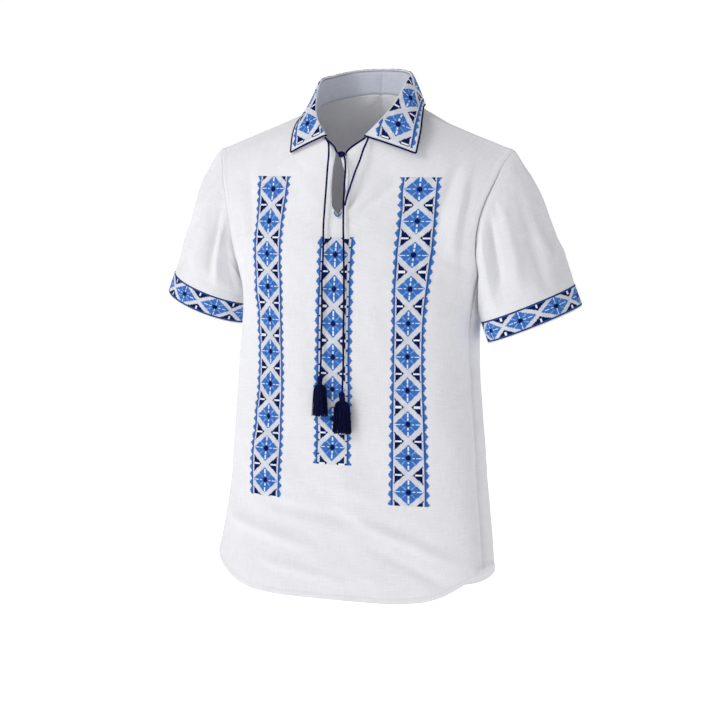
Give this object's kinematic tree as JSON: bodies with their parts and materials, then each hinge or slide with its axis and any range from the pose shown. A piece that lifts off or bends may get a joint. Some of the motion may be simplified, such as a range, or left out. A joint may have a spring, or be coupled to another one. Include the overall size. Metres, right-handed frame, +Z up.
{
  "type": "folk tunic shirt",
  "caption": "Short-sleeved linen folk tunic shirt, worn and hollow, with an embroidered collar, strips and sleeve bands, a neck slit and tasselled neck cords.",
  "frame": {"origin": "midway between the two high points of the shoulders, where the wearer's shoulders carry the shirt", "axes": "+Z up, the long way of the shirt; -Y the front; +X the wearer's left"},
  "size_m": [0.6716, 0.2245, 0.7827],
  "materials": {
    "linen": "matt plain-woven white linen",
    "collar_linen": "matt white linen, two layers",
    "embroidery": "cross-stitch in blue, navy and white cotton thread",
    "piping": "navy twisted cotton piping",
    "cord": "navy twisted cotton cord and tassels"
  },
  "bodies": {
    "root": {"front": "linen", "back": "linen", "sleeve_left": "linen", "sleeve_right": "linen", "sleeve_band_left": "embroidery", "sleeve_band_right": "embroidery", "embroidery_left": "embroidery", "embroidery_right": "embroidery", "embroidery_centre": "embroidery", "collar_stand": "collar_linen", "collar": "collar_linen", "collar_piping": "piping", "neck_piping_left": "piping", "neck_piping_right": "piping", "cord_right": "cord", "cord_left": "cord", "cord_branch": "cord", "neck_knot": "cord", "tassel_right": "cord", "tassel_left": "cord"}
  },
  "joints": []
}
